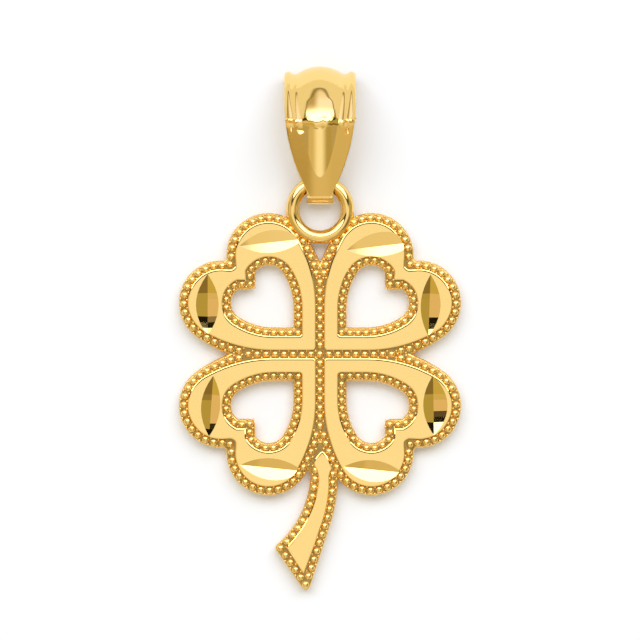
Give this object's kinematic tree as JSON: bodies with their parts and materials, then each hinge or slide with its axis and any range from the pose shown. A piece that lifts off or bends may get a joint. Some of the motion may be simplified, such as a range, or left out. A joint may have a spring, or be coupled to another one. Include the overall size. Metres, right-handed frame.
{
  "type": "four leaf clover pendant",
  "caption": "Small cast gold clover pendant: four pierced leaves edged with beads, a curved stem, a soldered ring and a tapering bail for a neck chain.",
  "frame": {"origin": "middle of the crossing between the four leaves, on the flat back that the pendant lies on", "axes": "+Z out of the front face, +Y along the pendant from the stem to the bail, +X to the wearer's left"},
  "size_m": [0.012, 0.0223, 0.003],
  "materials": {
    "clover_gold": "cast yellow gold, flat panels polished bright, beaded ledges left satin",
    "bail_gold": "pressed yellow gold, polished"
  },
  "bodies": {
    "root": {"clover": "clover_gold", "bail": "bail_gold"}
  },
  "joints": []
}
